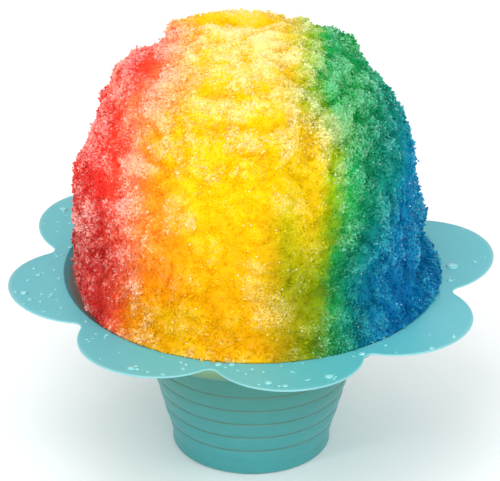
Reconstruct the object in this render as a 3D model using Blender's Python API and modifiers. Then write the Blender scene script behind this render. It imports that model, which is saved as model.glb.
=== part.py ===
"""A shaved ice dessert: a tall dome of shaved ice heaped in a ribbed plastic cup, whose brim
spreads into eight petals round a shallow drip tray.

Metres, +Z up. The origin is the middle of the cup's foot, on the surface that it stands on.
The front of the dessert is at -Y, and red syrup would be at -X and blue at +X.
"""

import math
import random

import bmesh
import bpy
from mathutils import Euler, Matrix, Vector, noise

MM = 0.001

# Petal brim
PETALS = 8
PETAL_TIP = 76.2 * MM
NOTCH = 63.0 * MM
NOTCH_FILLET = 3.0 * MM
PETAL_TURN = math.radians(11.3)
BRIM_HEIGHT = 59.0 * MM
BRIM_THICK = 0.8 * MM
PAST_PETALS = 3.0 * MM

# Drip tray between the brim and the cup's neck
TRAY_RIM = 58.4 * MM
TRAY_CORNER = 46.2 * MM
TRAY_CORNER_HEIGHT = 46.6 * MM
TRAY_FLOOR_HEIGHT = 43.4 * MM
TRAY_FLOOR_FILLET = 1.6 * MM
TRAY_CORNER_FILLET = 2.0 * MM
UNDER_BRIM_FILLET = 1.0 * MM
UNDER_BRIM_OFFSET = 0.6 * MM
UNDER_CORNER_OFFSET = 0.5 * MM

# Ribbed cup
WALL = 1.0 * MM
FLOOR = 1.0 * MM
FOOT_RADIUS = 24.6 * MM
FOOT_BEVEL = 0.5 * MM
FOOT_BAND = 4.0 * MM
FOOT_STEP = 8.0 * MM
GROOVES = 5
LOWEST_GROOVE = 9.1 * MM
GROOVE_PITCH = 5.62 * MM
GROOVE_DEPTH = 0.45 * MM
GROOVE_HALF_HEIGHT = 0.45 * MM
CONE_RADIUS = 26.1 * MM
CONE_SLOPE = 0.271

# Shaved ice
GAP = 0.3 * MM
DOME_RADIUS = 54.4 * MM
DOME_HEIGHT = 81.8 * MM
DOME_HEIGHT_POWER = 2.8
DOME_RADIUS_POWER = 2.6
SKIRT_FALL = 9.0 * MM
LEAN = -1.5 * MM
LEAN_HEIGHT = 30.0 * MM
EDGE_FADE = 6.0 * MM
EDGE_FLARE = 1.5
EDGE_FLARE_FROM = 2.0 * MM
ROW_SPACING = 3.4 * MM

# The ice stands clear of the tray's wall on the left
SLUMP_TURN = math.radians(186)
SLUMP_HALF_WIDTH = math.radians(44)
SLUMP_DEPTH = 4.4 * MM

# Relief of the packed ice: (size of a lump, how far it stands out)
LUMPS = ((27 * MM, 2.4 * MM), (13 * MM, 2.8 * MM), (7 * MM, 1.6 * MM))
RELIEF_SEED = Vector((3.1, 7.7, 1.9))

# Main bulges and hollows of this dome: (x, y, height over the brim, spread, push outwards)
BULGES = (
    (-23 * MM, 26 * MM, 75 * MM, 6 * MM, 3.0 * MM),
    (-32 * MM, 18 * MM, 72 * MM, 9 * MM, -5.6 * MM),
    (-50 * MM, 0 * MM, 54 * MM, 9 * MM, -2.6 * MM),
    (-53 * MM, 14 * MM, 40 * MM, 9 * MM, -0.8 * MM),
    (37 * MM, 18 * MM, 65 * MM, 9 * MM, -2.4 * MM),
    (43 * MM, 11 * MM, 54 * MM, 8 * MM, 1.4 * MM),
    (51 * MM, -4 * MM, 47 * MM, 12 * MM, -1.2 * MM),
    (54 * MM, 13 * MM, 24 * MM, 7 * MM, -1.6 * MM),
    (54 * MM, 10 * MM, 10 * MM, 8 * MM, 2.0 * MM),
    (0 * MM, 10 * MM, 82 * MM, 9 * MM, -1.8 * MM),
    (-30 * MM, -44 * MM, 40 * MM, 9 * MM, -2.0 * MM),
    (12 * MM, -54 * MM, 30 * MM, 11 * MM, 1.8 * MM),
)

# Loose crystals frozen on the surface
CRYSTALS = 60
CRYSTAL_LARGE = 3.6 * MM
CRYSTAL_SMALL = 1.8 * MM
CRYSTAL_SUNK = 0.35
CRYSTAL_LEAST_SHARE = 0.6
CRYSTAL_WIDTHS = (0.65, 0.9)
CRYSTAL_DEPTHS = (0.5, 0.75)
CRYSTAL_LOWEST = 5.0 * MM
CRYSTAL_HIGHEST = 78.0 * MM
CRYSTAL_SEED = 11
GOLDEN_TURN = math.pi * (3 - math.sqrt(5))

# Smoothness of the round shapes
CUP_STEPS = 64
ICE_STEPS = 80
FILLET_STEPS = 2
DOME_STEPS = 200
PETAL_STEPS = 9
NOTCH_STEPS = 3
MERGE_DISTANCE = 0.01 * MM

PLASTIC = ("turquoise_plastic", (0.14, 0.52, 0.56, 1.0), 0.38)
ICE = ("syrup_ice", (0.95, 0.66, 0.03, 1.0), 0.55)


def clear_scene():
    for thing in list(bpy.data.objects):
        bpy.data.objects.remove(thing)


def collection_named(name):
    made = bpy.data.collections.new(name)
    bpy.context.scene.collection.children.link(made)
    return made


def principled(name, colour, roughness):
    material = bpy.data.materials.new(name)
    material.use_nodes = True
    shader = material.node_tree.nodes["Principled BSDF"]
    shader.inputs["Base Color"].default_value = colour
    shader.inputs["Roughness"].default_value = roughness
    shader.inputs["Metallic"].default_value = 0.0
    return material


def filleted(corners):
    """The outline through corners (r, z, fillet radius), with an arc in place of each filleted corner."""
    points = []
    for i, (r, z, radius) in enumerate(corners):
        here = Vector((r, z))
        if radius == 0:
            points.append(here)
            continue
        before = (Vector(corners[i - 1][:2]) - here).normalized()
        after = (Vector(corners[i + 1][:2]) - here).normalized()
        half_angle = before.angle(after) / 2
        cut = radius / math.tan(half_angle)
        middle = here + (before + after).normalized() * radius / math.sin(half_angle)
        start = here + before * cut - middle
        turn = start.angle_signed(here + after * cut - middle)
        for step in range(FILLET_STEPS + 1):
            spun = start.copy()
            spun.rotate(Matrix.Rotation(-turn * step / FILLET_STEPS, 2))
            points.append(middle + spun)
    return points


def cone_radius(height):
    """Radius of the cup's bands outside, at a height over the foot."""
    return CONE_RADIUS + CONE_SLOPE * (height - LOWEST_GROOVE)


def inside_corners(gap):
    """The cup's inside from the middle of its floor to the tray's rim, moved in by a gap."""
    corners = (
        (0, FLOOR, 0),
        (FOOT_RADIUS - WALL, FLOOR, 0),
        (FOOT_RADIUS - WALL, FOOT_BAND, 0),
        (cone_radius(FOOT_STEP) - WALL, FOOT_STEP, 0),
        (cone_radius(TRAY_FLOOR_HEIGHT) - WALL, TRAY_FLOOR_HEIGHT, TRAY_FLOOR_FILLET),
        (TRAY_CORNER, TRAY_CORNER_HEIGHT, TRAY_CORNER_FILLET),
        (TRAY_RIM, BRIM_HEIGHT, 0),
    )
    return [(max(r - gap, 0), z + gap, radius) for r, z, radius in corners]


def groove(height):
    """One groove round the cup, from its upper edge down."""
    return [
        (cone_radius(height + GROOVE_HALF_HEIGHT), height + GROOVE_HALF_HEIGHT, 0),
        (cone_radius(height) - GROOVE_DEPTH, height, 0),
        (cone_radius(height - GROOVE_HALF_HEIGHT), height - GROOVE_HALF_HEIGHT, 0),
    ]


def outside_corners():
    """The cup's outside from the brim's underside down to the middle of the foot."""
    under_brim = BRIM_HEIGHT - BRIM_THICK
    neck_height = TRAY_FLOOR_HEIGHT - WALL
    corners = [
        (TRAY_RIM + UNDER_BRIM_OFFSET, under_brim, UNDER_BRIM_FILLET),
        (TRAY_CORNER + UNDER_CORNER_OFFSET, TRAY_CORNER_HEIGHT - WALL, 0),
        (cone_radius(neck_height), neck_height, 0),
    ]
    for number in reversed(range(GROOVES)):
        corners += groove(LOWEST_GROOVE + number * GROOVE_PITCH)
    return corners + [
        (cone_radius(FOOT_STEP), FOOT_STEP, 0),
        (FOOT_RADIUS, FOOT_BAND, 0),
        (FOOT_RADIUS, FOOT_BEVEL, 0),
        (FOOT_RADIUS - FOOT_BEVEL, 0, 0),
        (0, 0, 0),
    ]


def cup_profile():
    """Half section of the cup, with its brim as a round disc that reaches past the petals."""
    edge = PETAL_TIP + PAST_PETALS
    brim = [(edge, BRIM_HEIGHT, 0), (edge, BRIM_HEIGHT - BRIM_THICK, 0)]
    return filleted(inside_corners(0) + brim + outside_corners())


def turned(name, profile, steps, material, collection):
    """A profile in the XZ plane turned once round Z by a Screw modifier."""
    mesh = bpy.data.meshes.new(name)
    vertices = [(r, 0, z) for r, z in profile]
    edges = [(i, i + 1) for i in range(len(profile) - 1)]
    mesh.from_pydata(vertices, edges, [])
    mesh.materials.append(material)
    made = bpy.data.objects.new(name, mesh)
    collection.objects.link(made)
    screw = made.modifiers.new("turn", "SCREW")
    screw.steps = screw.render_steps = steps
    screw.use_merge_vertices = True
    screw.merge_threshold = MERGE_DISTANCE
    return made


def petal_outline():
    """The brim's outline: a round arc for each petal, and a small fillet in each notch between two."""
    half_petal = math.pi / PETALS
    fillet_middle = NOTCH + NOTCH_FILLET
    reach = PETAL_TIP + NOTCH_FILLET
    centre = (reach**2 - fillet_middle**2) / (2 * (reach - fillet_middle * math.cos(half_petal)))
    petal_radius = PETAL_TIP - centre
    to_fillet = Vector((fillet_middle * math.cos(half_petal) - centre, fillet_middle * math.sin(half_petal)))
    arc_end = math.atan2(to_fillet.y, to_fillet.x)
    outline = []
    for petal in range(PETALS):
        turn = PETAL_TURN + 2 * half_petal * petal
        along = Vector((math.cos(turn), math.sin(turn)))
        for step in range(PETAL_STEPS + 1):
            angle = turn + arc_end * (2 * step / PETAL_STEPS - 1)
            outline.append(along * centre + Vector((math.cos(angle), math.sin(angle))) * petal_radius)
        notch_turn = turn + half_petal
        notch_middle = Vector((math.cos(notch_turn), math.sin(notch_turn))) * fillet_middle
        for step in range(1, NOTCH_STEPS):
            angle = notch_turn + math.pi + (arc_end - half_petal) * (1 - 2 * step / NOTCH_STEPS)
            outline.append(notch_middle + Vector((math.cos(angle), math.sin(angle))) * NOTCH_FILLET)
    return outline


def petal_cutter(collection):
    """An upright prism on the petals' outline, which trims the brim's disc."""
    curve = bpy.data.curves.new("petal_outline", "CURVE")
    curve.dimensions = "2D"
    curve.fill_mode = "BOTH"
    curve.extrude = BRIM_HEIGHT
    outline = petal_outline()
    spline = curve.splines.new("POLY")
    spline.points.add(len(outline) - 1)
    for point, place in zip(spline.points, outline):
        point.co = (place.x, place.y, 0, 1)
    spline.use_cyclic_u = True
    flat = bpy.data.objects.new("petal_outline", curve)
    collection.objects.link(flat)
    flat.location.z = BRIM_HEIGHT / 2
    cutter = as_mesh(flat, "petal_cutter", collection)
    cutter.hide_render = True
    cutter.display_type = "WIRE"
    return cutter


def as_mesh(thing, name, collection):
    """The thing as Blender evaluates it, as a plain mesh in its place. The thing itself is removed."""
    bpy.context.view_layer.update()
    graph = bpy.context.evaluated_depsgraph_get()
    mesh = bpy.data.meshes.new_from_object(thing.evaluated_get(graph))
    shape = bmesh.new()
    shape.from_mesh(mesh)
    bmesh.ops.remove_doubles(shape, verts=shape.verts, dist=MERGE_DISTANCE)
    shape.to_mesh(mesh)
    shape.free()
    mesh.name = name
    place = thing.matrix_world.copy()
    bpy.data.objects.remove(thing)
    made = bpy.data.objects.new(name, mesh)
    made.matrix_world = place
    collection.objects.link(made)
    return made


def flower_cup(material, collection, cutters):
    cup = turned("flower_cup", cup_profile(), CUP_STEPS, material, collection)
    trim = cup.modifiers.new("petals", "BOOLEAN")
    trim.operation = "INTERSECT"
    trim.object = petal_cutter(cutters)
    trim.solver = "EXACT"
    return cup


def dome_radius(height):
    """Radius of the plain dome at a height over the brim, with a skirt that meets the tray's rim."""
    share = min(max(height / DOME_HEIGHT, 0), 1)
    skirt = (TRAY_RIM - GAP - DOME_RADIUS) * math.exp(-height / SKIRT_FALL)
    round_part = (1 - share**DOME_HEIGHT_POWER) ** (1 / DOME_RADIUS_POWER)
    return DOME_RADIUS * round_part + skirt * (1 - share)


def evenly_spaced(points, spacing):
    """Points at an even spacing along a line through the given points, ends kept."""
    lengths = [0]
    for a, b in zip(points, points[1:]):
        lengths.append(lengths[-1] + (b - a).length)
    count = max(1, round(lengths[-1] / spacing))
    spaced = []
    at = 0
    for step in range(count + 1):
        target = lengths[-1] * step / count
        while at < len(points) - 2 and lengths[at + 1] < target:
            at += 1
        share = (target - lengths[at]) / (lengths[at + 1] - lengths[at])
        spaced.append(points[at].lerp(points[at + 1], min(share, 1)))
    return spaced


def ice_profile():
    """Half section of the ice, from the dome's top down its outer side and round the plug in the cup."""
    turns = [math.pi / 2 * (1 - step / DOME_STEPS) for step in range(DOME_STEPS + 1)]
    heights = [DOME_HEIGHT * math.sin(turn) for turn in turns]
    dome = [Vector((dome_radius(h), BRIM_HEIGHT + GAP + h)) for h in heights]
    dome[0].x = 0
    plug = filleted(inside_corners(GAP)[:-1] + [(TRAY_RIM - GAP, BRIM_HEIGHT + GAP, 0)])
    return evenly_spaced(dome, ROW_SPACING) + plug[-2::-1]


def outward(place):
    """Outward direction on the dome: level on its steep side, and upwards on its top."""
    height = place.z - BRIM_HEIGHT
    rise = max(height / DOME_HEIGHT, 0) ** 3 * DOME_RADIUS
    return Vector((place.x, place.y, rise)).normalized()


def slump(turn):
    """How much of the left-hand gap in the tray there is in this direction, from 0 to 1."""
    away = (turn - SLUMP_TURN + math.pi) % (2 * math.pi) - math.pi
    return math.cos(min(abs(away) / SLUMP_HALF_WIDTH, 1) * math.pi / 2) ** 2


def relief(place):
    """How far the packed ice stands out here, from its lumps and its main bulges."""
    push = 0
    for size, height in LUMPS:
        push += height * noise.noise(place / size + RELIEF_SEED)
    for x, y, height, spread, amount in BULGES:
        away = (place - Vector((x, y, BRIM_HEIGHT + height))).length / spread
        push += amount * math.exp(-away * away)
    return push


def settle(place):
    """A point of the plain turned ice, moved to where it lies on the real, uneven heap."""
    height = place.z - BRIM_HEIGHT - GAP
    turn = math.atan2(place.y, place.x)
    room = TRAY_RIM - GAP - SLUMP_DEPTH * slump(turn)
    moved = place.copy()
    if height > 0:
        share = min(height / EDGE_FADE, 1)
        moved.x += LEAN * min(height / LEAN_HEIGHT, 1)
        moved += outward(place) * relief(place) * share * share * (3 - 2 * share)
        room += max(height - EDGE_FLARE_FROM, 0) * EDGE_FLARE
    reach = math.hypot(moved.x, moved.y)
    if reach > room:
        moved.x *= room / reach
        moved.y *= room / reach
    return moved


def crystal(place, size, draw, collection):
    """One loose crystal of ice: a flattened, turned lump with few faces, half sunk at its place."""
    bpy.ops.mesh.primitive_ico_sphere_add(subdivisions=1, radius=size)
    made = bpy.context.object
    for other in list(made.users_collection):
        other.objects.unlink(made)
    collection.objects.link(made)
    turns = Euler([draw.uniform(0, math.tau) for _ in range(3)]).to_matrix().to_4x4()
    sides = Matrix.Diagonal((1, draw.uniform(*CRYSTAL_WIDTHS), draw.uniform(*CRYSTAL_DEPTHS), 1))
    sunk = place - outward(place) * size * CRYSTAL_SUNK
    made.matrix_world = Matrix.Translation(sunk) @ turns @ sides
    return made


def crystal_places(surface):
    """Places spread evenly over the dome by a golden spiral, each on the nearest point of the surface."""
    places = []
    for number in range(CRYSTALS):
        share = (number + 0.5) / CRYSTALS
        height = CRYSTAL_LOWEST + (CRYSTAL_HIGHEST - CRYSTAL_LOWEST) * share
        turn = number * GOLDEN_TURN
        radius = dome_radius(height)
        aim = Vector((radius * math.cos(turn), radius * math.sin(turn), BRIM_HEIGHT + height))
        places.append(surface.closest_point_on_mesh(aim)[1])
    return places


def shaved_ice(material, collection, cutters):
    """The heap: a turned dome with its plug in the cup, made uneven, with loose crystals joined on."""
    plain = turned("plain_ice", ice_profile(), ICE_STEPS, material, cutters)
    ice = as_mesh(plain, "shaved_ice", collection)
    for vertex in ice.data.vertices:
        vertex.co = settle(vertex.co)
    bpy.context.view_layer.update()
    crystals = collection_named("loose crystals")
    draw = random.Random(CRYSTAL_SEED)
    for place in crystal_places(ice):
        share = 1 - (place.z - BRIM_HEIGHT) / DOME_HEIGHT
        size = CRYSTAL_SMALL + (CRYSTAL_LARGE - CRYSTAL_SMALL) * share * draw.uniform(CRYSTAL_LEAST_SHARE, 1)
        crystal(place, size, draw, crystals)
    join = ice.modifiers.new("crystals", "BOOLEAN")
    join.operation = "UNION"
    join.operand_type = "COLLECTION"
    join.collection = crystals
    join.solver = "EXACT"
    joined = as_mesh(ice, "shaved_ice", collection)
    for loose in list(crystals.objects):
        bpy.data.objects.remove(loose)
    bpy.data.collections.remove(crystals)
    joined.data.materials.clear()
    joined.data.materials.append(material)
    return joined


def main():
    clear_scene()
    dessert = collection_named("shaved ice dessert")
    cutters = collection_named("cutters")
    flower_cup(principled(*PLASTIC), dessert, cutters)
    shaved_ice(principled(*ICE), dessert, cutters)


main()
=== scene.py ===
# %% [markdown]
# A shaved ice dessert in a flower cup
# The real thing is a heap of finely shaved ice, packed by hand into a tall dome in a thin plastic
# cup, with syrups poured over it in stripes. It could be drawn as one smooth dome with a coloured
# picture on it, but ice is made of grains that catch the light one by one. So this lesson dresses
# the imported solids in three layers: a lumpy core, tens of thousands of small crystals on it, and
# colours worked out from where each point lies in the heap.

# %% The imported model, which everything else fits
import math

import bmesh
import bpy
import numpy as np
from mathutils import Matrix, Vector, noise


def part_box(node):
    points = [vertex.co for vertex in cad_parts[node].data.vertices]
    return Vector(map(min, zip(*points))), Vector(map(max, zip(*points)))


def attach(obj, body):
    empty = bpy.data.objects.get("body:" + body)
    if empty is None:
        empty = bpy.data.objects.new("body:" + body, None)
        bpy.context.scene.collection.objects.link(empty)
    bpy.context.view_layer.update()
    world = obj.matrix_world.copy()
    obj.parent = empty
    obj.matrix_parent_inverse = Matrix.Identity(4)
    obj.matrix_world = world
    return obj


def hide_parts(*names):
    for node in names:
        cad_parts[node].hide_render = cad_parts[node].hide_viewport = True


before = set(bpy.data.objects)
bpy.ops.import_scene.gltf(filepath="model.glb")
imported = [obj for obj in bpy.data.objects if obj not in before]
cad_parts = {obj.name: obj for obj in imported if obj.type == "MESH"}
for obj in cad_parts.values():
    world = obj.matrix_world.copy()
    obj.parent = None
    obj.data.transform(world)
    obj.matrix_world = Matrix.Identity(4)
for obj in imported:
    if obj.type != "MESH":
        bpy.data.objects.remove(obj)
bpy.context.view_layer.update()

MM = 0.001
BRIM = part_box("flower_cup")[1].z
HEAP_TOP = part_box("shaved_ice")[1].z
print("brim at", round(BRIM / MM, 1), "mm, top of the heap at", round(HEAP_TOP / MM, 1), "mm")

# %% [markdown]
# The camera
# The photograph was taken from well above the brim with a long lens, so far lines hardly draw
# together. The camera goes back along that line of sight from the middle of the brim, and it aims
# a little above the brim, which puts the whole dessert in the picture without any lens shift.

# %% The camera
ELEVATION = math.radians(28.61)
DISTANCE = 1466 * MM
ROLL = math.radians(0.33)
LENS = 340.7
SENSOR = 36.0
AIM_RIGHT = -0.77 * MM
AIM_UP = 9.15 * MM


def camera():
    """The photograph's camera: azimuth 0, looking down along +Y."""
    away = Vector((0, -math.cos(ELEVATION), math.sin(ELEVATION)))
    up = Vector((0, math.sin(ELEVATION), math.cos(ELEVATION)))
    brim_middle = Vector((0, 0, BRIM))
    place = brim_middle + away * DISTANCE
    aim = brim_middle + Vector((AIM_RIGHT, 0, 0)) + up * AIM_UP
    data = bpy.data.cameras.new("camera")
    data.lens = LENS
    data.sensor_width = SENSOR
    data.clip_start, data.clip_end = 0.1, 20
    made = bpy.data.objects.new("camera", data)
    bpy.context.scene.collection.objects.link(made)
    turn = (aim - place).to_track_quat("-Z", "Y").to_matrix() @ Matrix.Rotation(ROLL, 3, "Z")
    made.matrix_world = Matrix.Translation(place) @ turn.to_4x4()
    bpy.context.scene.camera = made
    print("camera at", [round(part, 3) for part in place], "m")


camera()

# %% [markdown]
# The studio
# Product photographs of food are lit by very large soft lights, so that the shadows inside the heap
# stay bright and the syrups keep their full colour. A pale world gives that even light from all
# sides. Big panels above, in front and behind lift the heap off the floor, one at the right keeps
# the blue side clear, and two small ones give the wet crystals something bright to mirror. The plain
# Standard view keeps strong colours strong, where the default film-like view would wash them out.

# %% The studio
WORLD_LIGHT = 0.72
WHITE = (1, 1, 1, 1)
PANELS = (
    ("top panel", (-0.25, -0.45, 0.95), 0.7, 4.0),
    ("front panel", (0.1, -1.1, 0.3), 0.8, 4.4),
    ("right panel", (0.95, -0.35, 0.2), 0.5, 1.0),
    ("back panel", (-0.15, 0.7, 0.9), 0.7, 1.5),
    ("left glint", (-0.6, -0.5, 0.45), 0.14, 1.1),
    ("right glint", (0.55, -0.35, 0.6), 0.14, 1.1),
)


def panel(name, place, size, power):
    """A square soft light that faces the middle of the brim; its power is in watts."""
    data = bpy.data.lights.new(name, "AREA")
    data.size = size
    data.energy = power
    made = bpy.data.objects.new(name, data)
    bpy.context.scene.collection.objects.link(made)
    made.location = place
    made.rotation_euler = (Vector((0, 0, BRIM)) - made.location).to_track_quat("-Z", "Y").to_euler()


def studio():
    """The pale room and all panels."""
    world = bpy.data.worlds.new("pale room")
    world.use_nodes = True
    background = world.node_tree.nodes["Background"]
    background.inputs["Color"].default_value = WHITE
    background.inputs["Strength"].default_value = WORLD_LIGHT
    bpy.context.scene.world = world
    bpy.context.scene.view_settings.view_transform = "Standard"
    for name, place, size, power in PANELS:
        panel(name, place, size, power)
    print(len(PANELS), "panels,", round(sum(power for *_, power in PANELS), 1), "W in all")


studio()

# %% [markdown]
# Finishes as arithmetic
# A finish in Blender is a graph of nodes. Wiring it by hand hides the sums it does, so a small class
# wraps a socket: adding, taking away or multiplying two wrapped sockets puts in a Math node. Every
# other node comes from one method, which sets the node's options first and then its inputs.

# %% A socket with arithmetic, and a finish that makes nodes
class Wire:
    """An output of a node in a finish. Sums of wires add Math nodes."""

    def __init__(self, finish, socket):
        self.finish = finish
        self.socket = socket

    def math(self, operation, first, second=0.0):
        return self.finish.node("ShaderNodeMath", {"operation": operation}, {0: first, 1: second})

    def __add__(self, other):
        return self.math("ADD", self, other)

    def __sub__(self, other):
        return self.math("SUBTRACT", self, other)

    def __rsub__(self, other):
        return self.math("SUBTRACT", other, self)

    def __mul__(self, other):
        return self.math("MULTIPLY", self, other)

    __radd__ = __add__
    __rmul__ = __mul__


class Finish:
    """One material, built node by node."""

    def __init__(self, name):
        self.material = bpy.data.materials.new(name)
        self.material.use_nodes = True
        self.tree = self.material.node_tree
        self.tree.nodes.clear()

    def node(self, kind, settings=None, inputs=None, output=0):
        """A node of any kind: its options are set first, then its inputs are set or wired."""
        made = self.tree.nodes.new(kind)
        for key, value in (settings or {}).items():
            if key == "stops":
                set_stops(made.color_ramp, value)
            else:
                setattr(made, key, value)
        for key, value in (inputs or {}).items():
            if isinstance(value, Wire):
                self.tree.links.new(value.socket, made.inputs[key])
            else:
                made.inputs[key].default_value = value
        return Wire(self, made.outputs[output]) if len(made.outputs) else None

    def mix(self, first, second, share, how="MIX"):
        """Two colours mixed; share 0 gives the first and 1 the second."""
        settings = {"data_type": "RGBA", "blend_type": how}
        return self.node("ShaderNodeMix", settings, {0: share, 6: first, 7: second}, 2)

    def smooth(self, value, low, high, start=0.0, end=1.0):
        """A soft step from start to end while the value goes from low to high."""
        inputs = {"Value": value, "From Min": low, "From Max": high, "To Min": start, "To Max": end}
        return self.node("ShaderNodeMapRange", {"interpolation_type": "SMOOTHSTEP"}, inputs)

    def place(self):
        """The point's place in the dessert, in metres."""
        return self.node("ShaderNodeTexCoord", output="Object")

    def coordinate(self, axis):
        """The point's X, Y or Z (axis 0, 1 or 2), in millimetres."""
        return self.node("ShaderNodeSeparateXYZ", inputs={0: self.place()}, output=axis) * (1 / MM)

    def kept(self, name):
        """A number that is kept on the mesh's points."""
        return self.node("ShaderNodeAttribute", {"attribute_name": name}, output="Fac")

    def grain(self, size, detail=2.0, roughness=0.5):
        """Soft noise between 0 and 1 whose lumps have this size."""
        inputs = {"Vector": self.place(), "Scale": 1 / size, "Detail": detail, "Roughness": roughness}
        return self.node("ShaderNodeTexNoise", inputs=inputs)

    def surface(self, inputs):
        """Ends the finish with one shader that has these inputs."""
        shader = self.node("ShaderNodeBsdfPrincipled", inputs=inputs)
        self.node("ShaderNodeOutputMaterial", inputs={"Surface": shader})
        return self.material


def linear(red, green, blue):
    """A colour as a screen shows it, 0 to 255, as Blender's linear colour."""
    channels = (red / 255, green / 255, blue / 255)
    return tuple(((c + 0.055) / 1.055) ** 2.4 if c > 0.04 else c / 12.92 for c in channels) + (1,)


def set_stops(ramp, stops):
    """Colour stops (position 0 to 1, colour) on a ramp."""
    while len(ramp.elements) < len(stops):
        ramp.elements.new(1.0)
    for element, (position, colour) in zip(ramp.elements, stops):
        element.position = position
        element.color = colour


# %% [markdown]
# The syrups' colours
# The syrups were poured over the top side by side, from red at the left to blue at the right, and
# where two meet they mix. So the list below holds the mixtures too. Each has three colours: fresh on
# the upper ice, soaked at the base, and the pale one that dry ice dust gives it. The soaked colours
# are deeper because syrup soaks down, and darker also as painted shade of the lower heap. A colour
# ramp turns the stripes, each at its place in millimetres from the middle, into one smooth run of
# colours.

# %% The syrups' colours
# fresh, soaked and pale colours; the soaked ones are also darker as painted shade of the lower heap
SYRUPS = {
    "cherry": ((234, 46, 38), (188, 38, 34), (250, 168, 156)),
    "coral": ((246, 84, 54), (222, 72, 48), (255, 182, 160)),
    "peach": ((255, 146, 80), (230, 116, 40), (255, 202, 162)),
    "orange": ((255, 164, 14), (230, 146, 2), (255, 208, 148)),
    "lemon": ((255, 200, 0), (228, 176, 0), (255, 224, 156)),
    "gold": ((224, 190, 0), (176, 152, 0), (240, 222, 146)),
    "lime": ((146, 184, 10), (126, 150, 6), (214, 224, 156)),
    "green": ((12, 158, 58), (28, 136, 52), (118, 202, 134)),
    "teal": ((6, 128, 86), (8, 130, 104), (70, 190, 154)),
    "sea": ((6, 130, 128), (2, 114, 136), (54, 172, 176)),
    "blue": ((2, 120, 162), (0, 102, 156), (44, 162, 194)),
}
STRIPES = (
    (-44.5, "cherry"),
    (-39, "coral"),
    (-34, "peach"),
    (-29, "orange"),
    (-21, "lemon"),
    (1, "lemon"),
    (10, "gold"),
    (14.5, "lime"),
    (18, "green"),
    (23.5, "teal"),
    (28, "sea"),
    (32, "blue"),
)
STRIPES_FROM, STRIPES_TO = -60, 60
COATS = FRESH, SOAKED_SHADED, DRY = range(3)


def stops(coat):
    """The stripes, in one of the syrups' three colours, as the stops of a ramp."""
    span = STRIPES_TO - STRIPES_FROM
    return [((at - STRIPES_FROM) / span, linear(*SYRUPS[name][coat])) for at, name in STRIPES]


print(len(SYRUPS), "colours in", len(STRIPES), "stops")

# %% [markdown]
# How the syrups ran
# On the way down the syrups spread and ran sideways over the shoulders of the dome. So a point's
# stripe is read from how far left or right it lies, moved by noise so that no border is straight,
# and then by a few shifts, each of which acts on one part of the heap. A shift is a product of soft
# steps, written as low, high, start and end: it goes from start to end while a height above the brim
# or a distance across goes from low to high, all in millimetres.

# %% How the syrups ran
BROAD_WANDER, BROAD_SWAY = 17 * MM, 8
FINE_WANDER, FINE_SWAY = 3.5 * MM, 5
GREENS_RUN = (14, 46, 4.2, 9.8)
GREENS_FROM = (6, 22, 0.0, 1.0)
TOP_RUN = (60, 77, 0.0, 6.0)
TOP_RUN_UP_TO = (22, 32, 1.0, 0.0)
BLUES_RUN = (36, 66, 7.0, 11.2)
BLUES_FROM = (24, 54, 0.0, 1.0)
REDS_SQUEEZE = (62, 84, 0.97, 1.55)
LOW_REDS_RUN = (-46, -36, 0.0, 6.5)
LOW_REDS_UP_TO = (-24, -10, 1.0, 0.0)
LOW_REDS_BELOW = (6, 24, 1.0, 0.0)
GOLD_FROM, GOLD_UP_TO = (-4, 6, 0.0, 1.0), (9, 20, 1.0, 0.0)
GOLD_MORE, GOLD_LESS = (40, 66, 3.0, 0.0), (4, 28, 2.4, 0.0)
DRIP_FROM, DRIP_UP_TO = (-32, -24, 0.0, 1.0), (-16, -9, 1.0, 0.0)
DRIP_ABOVE, DRIP_RUN = (8, 20, 0.0, 1.0), (42, 56, 5.0, 0.0)
SOAKED_LUMP, SOAKED_SWAY = 12 * MM, 22
SHADED_SOAK_BELOW = (12, 54, 1.0, 0.0)


def sway(finish, size, far, detail=2.0):
    """Noise that moves things to either side by up to half of far, in millimetres."""
    return (finish.grain(size, detail) - 0.5) * far


def stripe_at(finish, across, height):
    """Which stripe a point takes, as a distance across in millimetres."""

    def step_across(step):
        return finish.smooth(across, *step)

    def step_up(step):
        return finish.smooth(height, *step)

    left = finish.node("ShaderNodeMath", {"operation": "MINIMUM"}, {0: across, 1: 0.0})
    right = finish.node("ShaderNodeMath", {"operation": "MAXIMUM"}, {0: across, 1: 0.0})
    top_run = step_up(TOP_RUN) * step_across(TOP_RUN_UP_TO)
    greens = step_across(GREENS_FROM) * (step_up(GREENS_RUN) - top_run)
    blues = step_across(BLUES_FROM) * step_up(BLUES_RUN)
    low_reds = step_across(LOW_REDS_RUN) * step_across(LOW_REDS_UP_TO) * step_up(LOW_REDS_BELOW)
    gold = step_across(GOLD_FROM) * step_across(GOLD_UP_TO) * (step_up(GOLD_MORE) - step_up(GOLD_LESS))
    drip = step_across(DRIP_FROM) * step_across(DRIP_UP_TO) * step_up(DRIP_ABOVE) * step_up(DRIP_RUN)
    return left * step_up(REDS_SQUEEZE) + right + low_reds - drip - greens - blues + gold


def syrup(finish):
    """The syrup's colour at each point, darker towards the base partly as painted shade, and its pale
    colour there.
    """
    wander = sway(finish, BROAD_WANDER, BROAD_SWAY, 3.0) + sway(finish, FINE_WANDER, FINE_SWAY)
    height = finish.coordinate(2) - BRIM / MM
    stripe = stripe_at(finish, finish.coordinate(0) + wander, height)
    along = (stripe - STRIPES_FROM) * (1 / (STRIPES_TO - STRIPES_FROM))
    ramps = [finish.node("ShaderNodeValToRGB", {"stops": stops(coat)}, {0: along}) for coat in COATS]
    # towards the base: soaked syrup, and darker as painted shade of the lower heap
    soak_and_shade = finish.smooth(height + sway(finish, SOAKED_LUMP, SOAKED_SWAY), *SHADED_SOAK_BELOW)
    return finish.mix(ramps[FRESH], ramps[SOAKED_SHADED], soak_and_shade), ramps[DRY]
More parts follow.
